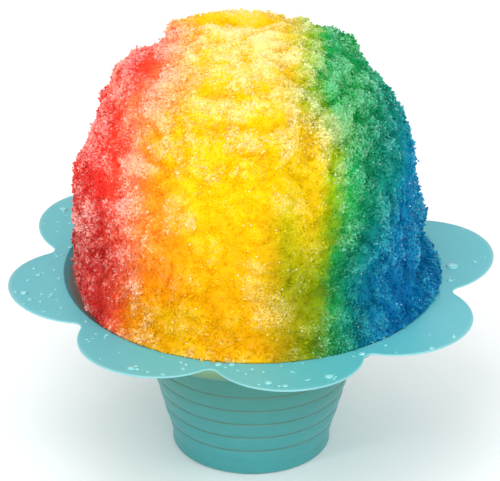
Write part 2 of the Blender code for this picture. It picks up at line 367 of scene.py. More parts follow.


# %% [markdown]
# Wet and dry ice
# Two numbers are kept on every mesh of the heap. "crest" says how far a point stands out of its
# surroundings, because syrup gathers in the hollows and leaves the tips frosty. The hollows are
# also painted darker, as painted shade. "dry" says how little syrup the ice took up there, which
# changes slowly over the heap. A speckle as fine as the grains is added to them, so paleness
# flickers from grain to grain as it does in real shaved ice, and each loose crystal has a "frost" of
# its own instead. Light that enters ice is scattered inside it and comes out in the syrup's colour,
# even from hollows where no lamp reaches, so the finish also has a faint painted glow in that
# colour, which lifts the shade in the hollows.

# %% The finish of the ice
SPECKLE = 0.62 * MM
SPECKLE_PART = 1.5
THREAD = 1.1 * MM
THREAD_WARP = 0.5 * MM
THREAD_PART = 0.5
THREAD_LINE = (0.03, 0.2, 1.0, 0.0)
CREST_PART = 0.7
FROST_PART = 1.0
PALENESS = (0.15, 1.0, 0.0, 0.95)
# painted shade: the hollows are darkened, on top of the syrup that gathers there
HOLLOW_SHADE = (0.05, 0.5, 0.25, 0.0)
ICE_IOR = 1.31
DULL = 0.15
# painted glow: the shaded syrup colour given off faintly, in place of light scattered inside the ice
GLOW = 0.05


def soft(weight, scale):
    """Shader inputs for light scattered inside, alike in all colours, over a distance of scale."""
    return {"Subsurface Weight": weight, "Subsurface Radius": (1.0, 1.0, 1.0), "Subsurface Scale": scale}


def threads(finish):
    """Thin lines round grain-sized cells, 1 on the line and 0 inside: the rims of clear grains."""
    noisy = {"Vector": finish.place(), "Scale": 1 / THREAD}
    bend = finish.node("ShaderNodeTexNoise", inputs=noisy, output=1)
    stretch = {0: bend, 1: (THREAD_WARP,) * 3, 2: finish.place()}
    warped = finish.node("ShaderNodeVectorMath", {"operation": "MULTIPLY_ADD"}, stretch)
    cells = {"Vector": warped, "Scale": 1 / THREAD}
    edge = finish.node("ShaderNodeTexVoronoi", {"feature": "DISTANCE_TO_EDGE"}, cells)
    return finish.smooth(edge, *THREAD_LINE)


def ice_finish(name, roughness, bump=0.0, extra=None):
    """Syruped ice, paler where it is dry or stands out, and deeper in the hollows, darker there as
    painted shade.

    A finish with a bump is for the core: its speckle and threads are painted on. Without one it is
    for loose crystals, which have a frost each.
    """
    finish = Finish(name)
    colour, pale = syrup(finish)
    crest = finish.kept("crest")
    if bump:
        speckle = finish.grain(SPECKLE, 3.0, 0.7) - 0.5
        grainy = speckle * SPECKLE_PART + threads(finish) * THREAD_PART - THREAD_PART / 2
    else:
        speckle = finish.kept("frost") - 0.5
        grainy = speckle * FROST_PART
    # painted shade: the colour times itself, deeper and darker, is mixed in where the ice lies low
    doubled = finish.mix(colour, colour, 1.0, "MULTIPLY")
    hollow_shaded = finish.mix(colour, doubled, finish.smooth(crest + speckle, *HOLLOW_SHADE))
    paleness = finish.smooth((crest - 0.5) * CREST_PART + grainy + finish.kept("dry"), *PALENESS)
    inputs = {
        "Base Color": finish.mix(hollow_shaded, pale, paleness),
        "Roughness": roughness,
        "IOR": ICE_IOR,
        "Specular IOR Level": DULL,
        "Emission Color": hollow_shaded,
        "Emission Strength": GLOW,
    }
    inputs.update(extra or {})
    if bump:
        heights = {"Strength": 1.0, "Distance": bump, "Height": speckle}
        inputs["Normal"] = finish.node("ShaderNodeBump", inputs=heights)
    return finish.surface(inputs)


# %% [markdown]
# The folds and the clumps
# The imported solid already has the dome's outline and its main lumps. Finer relief moves each point
# of its surface in or out. A few folds, creases and hollows that catch the eye are set one by one,
# each with its middle, its radius and how far it moves the surface, all in millimetres. All over the
# heap, rounded clumps with creases are worked out from noise, as ice packs when it is pressed. Where
# the ice is soaked, its fine clumps have partly melted away.

# %% The folds, set one by one
FOLDS = (
    ((-30, 12, 132), 5.0, -3.6),
    ((-32, 3, 133), 4.5, -3.0),
    ((-29, 6, 135), 3.2, -2.6),
    ((-29, 26, 126), 3.4, -6.5),
    ((-33, 15, 129), 4.5, -2.4),
    ((-37, 24, 121), 4.0, 1.4),
    ((-25, 22, 132), 3.2, 2.6),
    ((-27, -7, 137), 3.5, -2.2),
    ((-25, -13, 133), 3.5, -1.4),
    ((-20, 6, 137), 5.0, 1.6),
    ((-8, 6, 139), 6.0, 1.0),
    ((5, 7, 139), 6.0, 0.9),
    ((-14, 17, 135), 5.0, -2.8),
    ((-4, 17, 136), 5.0, -3.0),
    ((6, 16, 137), 4.5, -2.8),
    ((-14, 27, 133), 4.0, 1.2),
    ((-22, -18, 134), 5.0, -1.8),
    ((11, 20, 137), 2.6, -3.0),
    ((11, 25, 135), 2.6, -3.4),
    ((11, 30, 132), 2.6, -2.6),
    ((24, 16, 133), 3.6, 2.4),
    ((30, 15, 130), 3.2, 2.6),
    ((34.5, 18, 126), 3.0, -3.8),
    ((37, 19, 121), 4.0, -4.0),
    ((36, 25, 118), 3.4, -1.8),
    ((24, -15, 136), 4.0, -1.8),
    ((-44, 20, 114), 4.0, -1.5),
    ((-51, 12, 102), 5.0, -1.5),
    ((-25, -15, 132), 3.5, 1.4),
    ((-30, -21, 125), 4.0, 1.4),
    ((-34, -27, 116), 4.0, 1.3),
    ((-37, -33, 106), 4.5, 1.4),
    ((-30, -9, 132), 3.0, -1.6),
    ((-29, -29, 118), 4.0, -1.5),
    ((-30, -37, 105), 4.5, -1.4),
    ((-53, -2, 96), 7.0, 1.9),
    ((-55, -8, 87), 4.0, -1.3),
    ((50, 5, 96), 8.0, -1.1),
    ((-11, -53, 78), 5.5, -2.4),
    ((-36, -32, 112), 6.0, -1.4),
    ((36, -38, 90), 5.0, -1.8),
    ((27, -45, 87), 6.0, 1.2),
)


def bumps_at(places, rows):
    """The sum of round bumps at each place; a row is a middle and a radius in mm, and a height."""
    total = np.zeros(len(places))
    for middle, radius, height in rows:
        away = np.linalg.norm(places / MM - np.array(middle), axis=1)
        total += height * np.exp(-((away / radius) ** 2))
    return total


print(len(FOLDS), "folds set by hand")

# %% The clumps, from noise
CLUMPS = ((13.0 * MM, 2.6 * MM), (6.5 * MM, 2.0 * MM), (3.2 * MM, 1.3 * MM), (1.7 * MM, 0.55 * MM))
FINE_CLUMP = 5.0 * MM
CREASE = 0.22
CLUMP_SEED = Vector((5.3, 1.7, 8.2))


def clumps_at(place, rough):
    """How far the clumps stand out at a place, in metres: rounded tops, with creases between them.

    The fine clumps are melted away where rough, from 0 to 1, is low.
    """
    total = 0.0
    for size, height in CLUMPS:
        part = rough if size < FINE_CLUMP else 1.0
        total += part * height * (abs(noise.noise(place / size + CLUMP_SEED)) - CREASE)
    return total


print("clumps from", round(CLUMPS[-1][0] / MM, 1), "to", round(CLUMPS[0][0] / MM, 1), "mm wide")

# %% [markdown]
# Soaked and dry ice
# Little syrup stays in the upper half of the heap, and drier and wetter patches alternate all over
# it. So the dryness of a point is worked out from its height and from two noises. The left side is
# evenly soaked. The edge on the brim is paler: whitish crystals lie there, and the paleness is also
# painted light that lifts the shade near the brim. Patches that catch the eye are set one by one,
# each with its middle and radius in millimetres and how much drier it is.

# %% How dry the ice is
DRY_BASE, DRY_TOP = 0.14, 0.5
DRY_FROM, DRY_UP_TO = 35.0 * MM, 78.0 * MM
DRY_SEED = Vector((2.1, 9.4, 3.3))
DRY_PATCH, DRY_SWING = 14.0 * MM, 0.35
DRY_CLUSTER, DRY_CLUSTER_SWING = 4.2 * MM, 0.5
EVEN_FROM, EVEN_WIDTH = -34.0 * MM, 8.0 * MM
EVEN_CALM = 0.6
EVEN_DRY = 0.03
# paler near the brim: whitish crystals, and also painted light that lifts the shade there
PALE_RIM = 0.25
RIM_BAND = 3.0 * MM
PATCHES = (
    ((14, -49, 98), 18, -0.5),
    ((-5, -47, 108), 16, -0.35),
    ((2, -53, 84), 16, -0.45),
    ((-16, -50, 78), 13, -0.3),
    ((20, -50, 72), 12, -0.2),
    ((-44, -30, 100), 9, -0.15),
    ((30, -42, 92), 6, 0.45),
    ((29, -44, 87), 6, 0.35),
    ((24, -47, 80), 6, 0.35),
    ((26, -28, 124), 9, 0.25),
    ((-25, -15, 132), 4.0, 0.5),
    ((-28, -18, 128), 4.0, 0.5),
    ((-31, -21, 124), 4.0, 0.5),
    ((-33, -25, 119), 4.0, 0.5),
    ((-35, -29, 113), 4.0, 0.5),
    ((-37, -33, 107), 4.5, 0.5),
    ((-38, -36, 101), 4.5, 0.45),
    ((-30, -9, 132), 3.5, -0.7),
    ((-31, -13, 130), 3.5, -0.6),
    ((-42, -27, 108), 8, -0.2),
    ((-35, -15, 125), 4.0, -0.4),
    ((-29, -30, 118), 4.5, -0.5),
    ((-30, -37, 106), 5.0, -0.6),
    ((-28, -40, 101), 7, -0.35),
    ((-24, -20, 128), 6, 0.3),
    ((4, -8, 138), 7, 0.22),
    ((-1, -33, 127), 6, -0.4),
    ((-16, -31, 126), 6, -0.3),
    ((-22, -42, 104), 6, -0.3),
    ((8, -47, 107), 8, -0.35),
    ((-1, -54, 80), 7, -0.3),
    ((6, -55, 66), 7, -0.5),
    ((-23, -8, 135), 4, 0.3),
    ((12, -52, 88), 9, -0.25),
    ((-42, -36, 76), 7, 0.25),
    ((-40, -36, 88), 6, 0.3),
    ((45, -30, 88), 9, 0.2),
    ((-44, -28, 66), 9, -0.35),
    ((-52, -16, 82), 9, 0.55),
    ((-14, 21, 134), 5, -0.6),
    ((-5, 21, 135), 5, -0.6),
    ((4, 20, 135), 5, -0.5),
    ((-21, 6, 137), 6, 0.35),
    ((-8, 6, 139), 6, 0.3),
    ((5, 7, 139), 6, 0.25),
    ((-26, 0, 135), 4, 0.4),
    ((-33, -3, 133), 5, -0.5),
)


def dryness(places):
    """How dry the ice is at each place, from 0 to 1."""
    height = np.clip((places[:, 2] - BRIM - DRY_FROM) / (DRY_UP_TO - DRY_FROM), 0, 1)
    patches = np.array([noise.noise(Vector(place) / DRY_PATCH + DRY_SEED) for place in places])
    clusters = np.array([noise.noise(Vector(place) / DRY_CLUSTER - DRY_SEED) for place in places])
    even = np.clip((EVEN_FROM - places[:, 0]) / EVEN_WIDTH, 0, 1)
    swing = DRY_SWING * patches + DRY_CLUSTER_SWING * clusters
    total = DRY_BASE + (DRY_TOP - DRY_BASE) * height + swing * (1 - EVEN_CALM * even)
    total += EVEN_DRY * even + bumps_at(places, PATCHES)
    # paler near the brim, partly painted light that lifts the shade there
    total += PALE_RIM * np.exp(-(((places[:, 2] - BRIM) / RIM_BAND) ** 2))
    return np.clip(total, 0, 1)


print(len(PATCHES), "drier or wetter patches")

# %% Meshes as arrays, and pieces
def mesh_of(thing):
    """A thing's mesh with its modifiers applied."""
    bpy.context.view_layer.update()
    graph = bpy.context.evaluated_depsgraph_get()
    return bpy.data.meshes.new_from_object(thing.evaluated_get(graph))


def vertex_array(mesh, field="co"):
    """The places of a mesh's points as rows of three, or their normals."""
    flat = np.zeros(len(mesh.vertices) * 3, np.float32)
    mesh.vertices.foreach_get(field, flat)
    return flat.reshape(-1, 3)


def keep(mesh, name, values):
    """A number kept on every point of a mesh, for its finish to read."""
    mesh.attributes.new(name, "FLOAT", "POINT").data.foreach_set("value", values.astype(np.float32))


def numbers_kept(mesh, name):
    """The numbers that keep() put on a mesh."""
    values = np.zeros(len(mesh.vertices), np.float32)
    mesh.attributes[name].data.foreach_get("value", values)
    return values


def new_piece(name, mesh, material, node):
    """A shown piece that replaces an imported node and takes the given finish."""
    mesh.name = name
    mesh.materials.clear()
    mesh.materials.append(material)
    made = bpy.data.objects.new(name, mesh)
    bpy.context.scene.collection.objects.link(made)
    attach(made, "root")
    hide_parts(node)


# %% [markdown]
# The core of the heap
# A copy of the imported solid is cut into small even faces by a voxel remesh, and each point then
# moves by the folds, the clumps and last a tiny random step of its own. That last step, with flat
# shading, turns every small face into the facet of a crystal. Near the brim the relief dies out, and
# inside the tray the ice is pushed out a little, so that no gap shows between it and the plastic.

# %% The core, made
VOXEL = 0.7 * MM
SMOOTHING_STEPS = 4
MELTED = 0.45
ROUGH_BY_DRY = 2.0
CREST_RANGE = (3, 97)
FACET_SEED = 5
FACET_STEP = 0.14 * MM
INSET = 1.4 * MM
CALM_EDGE = 5.0 * MM
WALL_BAND = 1.5 * MM
WALL_REACH = 0.5 * MM


def even_heap():
    """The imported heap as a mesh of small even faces."""
    work = bpy.data.objects.new("heap_work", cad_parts["shaved_ice"].data.copy())
    bpy.context.scene.collection.objects.link(work)
    remesh = work.modifiers.new("even faces", "REMESH")
    remesh.mode = "VOXEL"
    remesh.voxel_size = VOXEL
    soften = work.modifiers.new("soften", "SMOOTH")
    soften.iterations = SMOOTHING_STEPS
    mesh = mesh_of(work)
    bpy.data.objects.remove(work)
    return mesh


def heap_core():
    """The even heap made lumpy, with "crest" and "dry" kept on its points."""
    mesh = even_heap()
    places = vertex_array(mesh)
    normals = vertex_array(mesh, "normal")
    calm = np.clip((places[:, 2] - BRIM) / CALM_EDGE, 0, 1)
    dry = dryness(places)
    rough = np.clip(MELTED + (1 - MELTED) * ROUGH_BY_DRY * dry, 0, 1)
    clumps = np.array([clumps_at(Vector(place), part) for place, part in zip(places, rough)])
    low, high = np.percentile(clumps, CREST_RANGE)
    keep(mesh, "crest", np.clip((clumps - low) / (high - low), 0, 1))
    keep(mesh, "dry", dry)
    steps = np.random.default_rng(FACET_SEED).normal(size=(len(places), 3)) * FACET_STEP
    in_tray = np.clip((BRIM + WALL_BAND - places[:, 2]) / MM, 0, 1)
    sideways = places[:, :2] / np.maximum(np.linalg.norm(places[:, :2], axis=1), MM)[:, None]
    out = (clumps + bumps_at(places, FOLDS) * MM - INSET) * calm
    places += normals * out[:, None] + steps * (rough * calm**2)[:, None]
    places[:, :2] += sideways * (in_tray * WALL_REACH)[:, None]
    mesh.vertices.foreach_set("co", places.ravel())
    mesh.shade_flat()
    mesh.update()
    print("core:", len(mesh.vertices), "points,", len(mesh.polygons), "faces")
    print("clumps from", (clumps.min() / MM).round(1), "to", (clumps.max() / MM).round(1), "mm")
    return mesh


core_mesh = heap_core()
core_finish = ice_finish("syruped ice", 0.35, 0.35 * MM, soft(0.3, 0.9 * MM))
new_piece("ice_core", core_mesh, core_finish, "shaved_ice")

# %% [markdown]
# The crystals
# Shaved ice is a mass of tiny grains and thin flakes, with larger wet chips lower down. Painting
# them on as bumps would leave the outline smooth, so each is a small faceted body of its own, partly
# sunk in the core. One base shape for each kind is copied, squashed and turned at random, and all
# copies are joined into one mesh, because the export keeps meshes and not scattered copies.

# %% The base shapes
TETRAHEDRON = ((1, 1, 1), (1, -1, -1), (-1, 1, -1), (-1, -1, 1))
OCTAHEDRON = ((1, 0, 0), (-1, 0, 0), (0, 1, 0), (0, -1, 0), (0, 0, 1), (0, 0, -1))


def faceted(corners):
    """Points and triangles of the convex body that has these corners."""
    work = bpy.data.meshes.new("shape_work")
    shape = bmesh.new()
    for corner in corners:
        shape.verts.new(corner)
    bmesh.ops.convex_hull(shape, input=shape.verts)
    bmesh.ops.recalc_face_normals(shape, faces=shape.faces)
    shape.to_mesh(work)
    shape.free()
    points = vertex_array(work)
    triangles = np.array([list(face.vertices) for face in work.polygons])
    bpy.data.meshes.remove(work)
    return points, triangles


def random_turns(count, draw):
    """Random rotation matrices, from random unit quaternions."""
    quaternions = draw.normal(size=(4, count))
    w, x, y, z = quaternions / np.linalg.norm(quaternions, axis=0)
    rows = [
        [1 - 2 * (y * y + z * z), 2 * (x * y - z * w), 2 * (x * z + y * w)],
        [2 * (x * y + z * w), 1 - 2 * (x * x + z * z), 2 * (y * z - x * w)],
        [2 * (x * z - y * w), 2 * (y * z + x * w), 1 - 2 * (x * x + y * y)],
    ]
    return np.moveaxis(np.array(rows), 2, 0)


def mesh_from(vertices, triangles):
    """A flat-shaded mesh from arrays of points and triangles."""
    mesh = bpy.data.meshes.new("crystals")
    mesh.vertices.add(len(vertices))
    mesh.vertices.foreach_set("co", vertices.astype(np.float32).ravel())
    mesh.loops.add(triangles.size)
    mesh.loops.foreach_set("vertex_index", triangles.ravel())
    mesh.polygons.add(len(triangles))
    mesh.polygons.foreach_set("loop_start", np.arange(0, triangles.size, 3))
    mesh.update(calc_edges=True)
    mesh.shade_flat()
    return mesh


for corners in (TETRAHEDRON, OCTAHEDRON):
    print(len(corners), "corners give", len(faceted(corners)[1]), "triangles")

# %% How crystals are strewn
LOWEST = 0.004
THINNING = 4
FEWEST = 0.18
UNEVEN = (0.75, 1.2)
JITTER = VOXEL / 2
FROST_SPREAD = 0.28
SPREAD_WET, SPREAD_DRY = 0.6, 0.8


def strewn(corners, half_sizes, count, seed, tallest=1.0, wet_growth=0.0, paler=0.0, sunk=0.25):
    """One joined mesh of crystals on the core above the brim.

    half_sizes are a crystal's three half sizes, each as (least, most); in the lower half of the heap
    they grow by up to wet_growth towards the brim. tallest, from 0 to 1, is how far up this kind
    reaches, and sunk is how deep a crystal sits, as a share of its size. Few crystals stand out of
    soaked ice, so the chance of one grows with dryness. A crystal is as dry as the core where it
    lies, and has its own frost, paler by an amount than the middle one.
    """
    draw = np.random.default_rng(seed)
    places = vertex_array(core_mesh)
    normals = vertex_array(core_mesh, "normal")
    height = (places[:, 2] - BRIM) / (HEAP_TOP - BRIM)
    dry = numbers_kept(core_mesh, "dry")
    reach = (height > LOWEST) * np.clip((tallest - height) * THINNING, 0, 1)
    chance = reach * (FEWEST + np.clip(dry, 0, 1 - FEWEST))
    chosen = draw.choice(len(places), count, p=chance / chance.sum())
    points, triangles = faceted(corners)
    wet = 1 + wet_growth * np.clip(1 - height[chosen] * 2, 0, 1)
    sizes = np.stack([draw.uniform(*span, count) for span in half_sizes], 1) * wet[:, None]
    uneven = points[None] * draw.uniform(*UNEVEN, (count, len(points), 1))
    turned = np.einsum("nij,nkj->nki", random_turns(count, draw), uneven * sizes[:, None, :])
    jitter = draw.normal(size=(count, 3)) * JITTER
    centres = places[chosen] + jitter - normals[chosen] * sizes.mean(1)[:, None] * sunk
    vertices = (turned + centres[:, None]).reshape(-1, 3)
    first_points = (np.arange(count) * len(points))[:, None, None]
    mesh = mesh_from(vertices, (triangles[None] + first_points).reshape(-1, 3))
    spread = FROST_SPREAD * (SPREAD_WET + SPREAD_DRY * dry[chosen])
    own = {
        "crest": numbers_kept(core_mesh, "crest")[chosen],
        "dry": dry[chosen],
        "frost": np.clip(draw.normal(0.5 + paler, spread), 0, 1),
    }
    for name, values in own.items():
        keep(mesh, name, np.repeat(values, len(points)))
    print(count, "crystals,", len(mesh.polygons), "triangles")
    return mesh


# %% The crystals of each kind
GRAIN = ((0.2 * MM, 0.42 * MM), (0.2 * MM, 0.4 * MM), (0.16 * MM, 0.36 * MM))
FLAKE = ((0.4 * MM, 0.8 * MM), (0.25 * MM, 0.5 * MM), (0.06 * MM, 0.13 * MM))
CHIP = ((0.4 * MM, 0.9 * MM), (0.3 * MM, 0.7 * MM), (0.2 * MM, 0.5 * MM))
SOFT_GRAIN = soft(0.7, 0.6 * MM)
WET = SOFT_GRAIN | {"Specular IOR Level": 0.3}

grain_finish = ice_finish("ice grains", 0.25, extra=SOFT_GRAIN)
grains = strewn(TETRAHEDRON, GRAIN, count=48000, seed=21, wet_growth=0.3)
new_piece("ice_grains", grains, grain_finish, "shaved_ice")
flakes = strewn(TETRAHEDRON, FLAKE, count=40000, seed=22, paler=0.15, sunk=0.6)
new_piece("ice_flakes", flakes, grain_finish, "shaved_ice")
chips = strewn(OCTAHEDRON, CHIP, count=12000, seed=23, tallest=0.7, wet_growth=0.25, paler=0.05, sunk=0.4)
new_piece("ice_chips", chips, ice_finish("wet chips", 0.1, extra=WET), "shaved_ice")

# %% [markdown]
# The glints
# Here and there a clear crystal catches a lamp and flashes nearly white. About a thousand smooth
# ones, which stand right on the surface, are enough to make the whole heap look icy. Their flash is
# painted: their colour is nearly white, a painted highlight. A coat gives them a hard shine of their
# own, and some of the syrup's pale colour keeps them part of the heap.

# %% The glints
GLINT = ((0.2 * MM, 0.42 * MM), (0.16 * MM, 0.3 * MM), (0.16 * MM, 0.3 * MM))
PAINTED_GLINT_WHITE = linear(238, 248, 255)
PAINTED_GLINT_SHARE = 0.55


def painted_glint_finish():
    """Painted highlight: nearly white, with some of the syrup's pale colour."""
    finish = Finish("painted glints")
    _, pale = syrup(finish)
    # painted highlight: the glint's colour is mostly near-white
    colour = finish.mix(pale, PAINTED_GLINT_WHITE, PAINTED_GLINT_SHARE)
    return finish.surface({"Base Color": colour, "Roughness": 0.06, "Coat Weight": 1.0})


glints = strewn(OCTAHEDRON, GLINT, count=1100, seed=24, sunk=0.0)
new_piece("ice_glints", glints, painted_glint_finish(), "shaved_ice")

# %% [markdown]
# The cup
# The cup is one thin moulding: a ribbed cone, a sloping drip tray and a flat brim cut into eight
# round petals. All of it is round except for the brim's outline, so the mesh is a polar grid: rows
# follow the section from the inside to the outside, and columns go round. Along the brim, a row's
# distance from the middle is read from the petals' outline, which two circles give exactly.

# %% The petals' outline
PETALS = 8
PETAL_TIP = 76.2 * MM
NOTCH = 63.0 * MM
FILLET = 3.0 * MM
PETAL_TURN = math.radians(11.3)
COLUMNS_PER_PETAL = 54
OUTLINE_STEPS = 7200


def petal_reach(turn):
    """Distance from the middle to the brim's edge in a direction.

    A petal is an arc whose centre lies on the petal's axis, and a small hollow arc rounds the notch
    between two petals. Where the arcs touch, their centres are as far apart as their radii add up to.
    """
    half = math.pi / PETALS
    off_axis = abs((turn - PETAL_TURN + half) % (2 * half) - half)
    fillet_middle = NOTCH + FILLET
    reach = PETAL_TIP + FILLET
    centre = (reach**2 - fillet_middle**2) / (2 * (reach - fillet_middle * math.cos(half)))
    radius = PETAL_TIP - centre
    meets = math.atan2(
        fillet_middle * math.sin(half) * radius / (radius + FILLET),
        centre + (fillet_middle * math.cos(half) - centre) * radius / (radius + FILLET),
    )
    if off_axis <= meets:
        return centre * math.cos(off_axis) + math.sqrt(radius**2 - (centre * math.sin(off_axis)) ** 2)
    off_notch = half - off_axis
    aside = fillet_middle * math.sin(off_notch)
    return fillet_middle * math.cos(off_notch) - math.sqrt(FILLET**2 - aside**2)


def column_turns():
    """Directions of the cup's columns, evenly spaced along the petals' outline."""
    fine_turns = np.linspace(0, 2 * math.pi, OUTLINE_STEPS + 1)
    reaches = np.array([petal_reach(turn) for turn in fine_turns])
    outline = np.stack([reaches * np.cos(fine_turns), reaches * np.sin(fine_turns)], 1)
    lengths = np.concatenate([[0], np.cumsum(np.linalg.norm(np.diff(outline, axis=0), axis=1))])
    targets = np.arange(PETALS * COLUMNS_PER_PETAL) / (PETALS * COLUMNS_PER_PETAL) * lengths[-1]
    print("petal outline is", (lengths[-1] / MM).round(), "mm round")
    return np.interp(targets, lengths, fine_turns)


# %% [markdown]
# The cup's section
# The section runs up the inside from the floor to the tray's rim, out along the top of the brim,
# round its edge and back, and then down the outside over the ribs. Each rib bows out a little
# between two fine grooves. The petals also lift slightly towards their tips, as thin plastic does.

# %% The cup's section
BRIM_THICK = 0.55 * MM
TRAY_RIM = 58.4 * MM
TRAY_CORNER = 46.2 * MM
TRAY_CORNER_HEIGHT = 46.6 * MM
TRAY_FLOOR_HEIGHT = 43.4 * MM
WALL = 1.0 * MM
FOOT_RADIUS = 24.6 * MM
FOOT_BAND = 4.0 * MM
FOOT_STEP = 8.0 * MM
GROOVES = 5
LOWEST_GROOVE = 9.1 * MM
GROOVE_PITCH = 5.62 * MM
GROOVE_DEPTH = 0.3 * MM
GROOVE_HALF = 0.4 * MM
RIB_BOW = 0.22 * MM
CONE_RADIUS = 26.1 * MM
CONE_SLOPE = 0.271
PETAL_LIFT = 0.5 * MM
RIM_WALL, TRAY_WALL = 0.6 * MM, 0.5 * MM
BRIM_START = TRAY_RIM + 2 * MM
FOOT_ROUND_IN, FOOT_ROUND_OUT = 1.0 * MM, 0.6 * MM
NECK_ROUND_IN, NECK_ROUND_OUT = 1.6 * MM, 0.6 * MM
TRAY_ROUND_IN, TRAY_ROUND_OUT = 2.0 * MM, 1.4 * MM
RIM_ROUND_IN, RIM_ROUND_OUT = 0.6 * MM, 1.0 * MM
GROOVE_SHAPE = ((0.3, 0.8), (0, 1), (-0.3, 0.8))
RIB_STEPS = 6
EDGE_STEPS = 6
BRIM_ROWS = 12


def cone_radius(height):
    """Radius of the stem's plain cone at a height."""
    return CONE_RADIUS + CONE_SLOPE * (height - LOWEST_GROOVE)


def rounded(corners, steps=4):
    """Points along corners (r, z, radius), each corner with a radius replaced by an arc."""
    points = []
    for i, (r, z, radius) in enumerate(corners):
        here = Vector((r, z))
        if not radius:
            points.append((r, z))
            continue
        before = (Vector(corners[i - 1][:2]) - here).normalized()
        after = (Vector(corners[i + 1][:2]) - here).normalized()
        cut = radius / math.tan(before.angle(after) / 2)
        start, end = here + before * cut, here + after * cut
        for step in range(steps + 1):
            share = step / steps
            bend = start.lerp(here, share).lerp(here.lerp(end, share), share)
            points.append(tuple(bend))
    return points


def ribs():
    """The outside of the ribbed cone, from the neck down to the foot's step."""
    points = []
    top = TRAY_FLOOR_HEIGHT - WALL
    for number in reversed(range(GROOVES)):
        middle = LOWEST_GROOVE + number * GROOVE_PITCH
        bottom = middle + GROOVE_HALF
        for step in range(RIB_STEPS + 1):
            share = step / RIB_STEPS
            height = top + (bottom - top) * share
            points.append((cone_radius(height) + RIB_BOW * math.sin(math.pi * share), height))
        for aside, deep in GROOVE_SHAPE:
            points.append((cone_radius(middle) - GROOVE_DEPTH * deep, middle + GROOVE_HALF * aside))
        top = middle - GROOVE_HALF
    points.append((cone_radius(top), top))
    return points


# %% The cup's rows
def inside_points():
    """Points (r, z) up the inside, from the middle of the floor to the start of the brim."""
    return rounded([
        (0, WALL, 0),
        (FOOT_RADIUS - WALL, WALL, FOOT_ROUND_IN),
        (FOOT_RADIUS - WALL, FOOT_BAND, FOOT_ROUND_IN),
        (cone_radius(FOOT_STEP) - WALL, FOOT_STEP, FOOT_ROUND_IN),
        (cone_radius(TRAY_FLOOR_HEIGHT) - WALL, TRAY_FLOOR_HEIGHT, NECK_ROUND_IN),
        (TRAY_CORNER, TRAY_CORNER_HEIGHT, TRAY_ROUND_IN),
        (TRAY_RIM, BRIM, RIM_ROUND_IN),
        (BRIM_START, BRIM, 0),
    ])[:-1]


def outside_points():
    """Points (r, z) down the outside, from under the brim to the middle of the foot."""
    neck = TRAY_FLOOR_HEIGHT - WALL
    tray = rounded([
        (BRIM_START, BRIM - BRIM_THICK, 0),
        (TRAY_RIM + RIM_WALL, BRIM - BRIM_THICK, RIM_ROUND_OUT),
        (TRAY_CORNER + TRAY_WALL, TRAY_CORNER_HEIGHT - WALL, TRAY_ROUND_OUT),
        (cone_radius(neck), neck, NECK_ROUND_OUT),
        (cone_radius(neck - 3 * WALL), neck - 3 * WALL, 0),
    ])[1:-1]
    foot = rounded([
        (cone_radius(FOOT_STEP), FOOT_STEP, 0),
        (FOOT_RADIUS, FOOT_BAND, FOOT_ROUND_OUT),
        (FOOT_RADIUS, 0, FOOT_ROUND_OUT),
        (0, 0, 0),
    ])[1:]
    return tray[:-1] + ribs()[1:] + foot


def cup_rows():
    """Rows (r, z, share): share is how far along the brim towards the petals' edge, 0 off the brim.

    Where share is 1, r is counted from the petals' edge.
    """
    inside = inside_points()
    outside = outside_points()
    under = BRIM - BRIM_THICK
    rows = [(r, z, 0) for r, z in inside]
    rows += [(inside[-1][0], BRIM, step / BRIM_ROWS) for step in range(1, BRIM_ROWS)]
    for step in range(EDGE_STEPS + 1):
        swing = math.pi * step / EDGE_STEPS
        inset = (1 - math.sin(swing)) * BRIM_THICK / 2
        rows.append((-inset, BRIM - BRIM_THICK / 2 * (1 - math.cos(swing)), 1))
    rows += [(outside[0][0], under, step / BRIM_ROWS) for step in range(BRIM_ROWS - 1, 0, -1)]
    rows += [(r, z, 0) for r, z in outside]
    return rows


# %% The cup's mesh
def lift_at(away):
    """How far the petals rise above the flat brim at a distance from the middle."""
    return PETAL_LIFT * np.clip((away - NOTCH) / (PETAL_TIP - NOTCH), 0, 1) ** 2


def cup_points(rows, turns):
    """The points of all rows, one row after the other."""
    reaches = np.array([petal_reach(turn) for turn in turns])
    points = []
    for r, z, share in rows:
        radii = reaches + r if share == 1 else r + (reaches - r) * share
        lift = lift_at(radii) * (share > 0)
        points.append(np.stack([radii * np.cos(turns), radii * np.sin(turns), z + lift], 1))
    return np.concatenate(points)


def cup_faces(rows, count):
    """Four-sided faces between the rows, and triangles round the middles of floor and foot."""
    faces = []
    for row in range(1, rows - 2):
        for column in range(count):
            here, after = row * count + column, row * count + (column + 1) % count
            faces.append((here, here + count, after + count, after))
    for row, middle, order in ((1, 0, 1), (rows - 2, rows - 1, -1)):
        ring = [(row * count + column, row * count + (column + 1) % count) for column in range(count)]
        faces += [(a, b, middle * count)[::order] for a, b in ring]
    return faces


def cup_mesh():
    """The cup as one closed mesh, with "edge" kept as 1 on the petals' edge."""
    rows, turns = cup_rows(), column_turns()
    mesh = bpy.data.meshes.new("cup")
    points = [tuple(point) for point in cup_points(rows, turns)]
    mesh.from_pydata(points, [], cup_faces(len(rows), len(turns)))
    keep(mesh, "edge", np.repeat([float(share == 1) for _, _, share in rows], len(turns)))
    shape = bmesh.new()
    shape.from_mesh(mesh)
    loose = [point for point in shape.verts if not point.link_faces]
    bmesh.ops.delete(shape, geom=loose, context="VERTS")
    bmesh.ops.recalc_face_normals(shape, faces=shape.faces)
    shape.to_mesh(mesh)
    shape.free()
    mesh.shade_smooth()
    print("cup:", len(rows), "rows,", len(turns), "columns,", len(mesh.polygons), "faces")
    return mesh


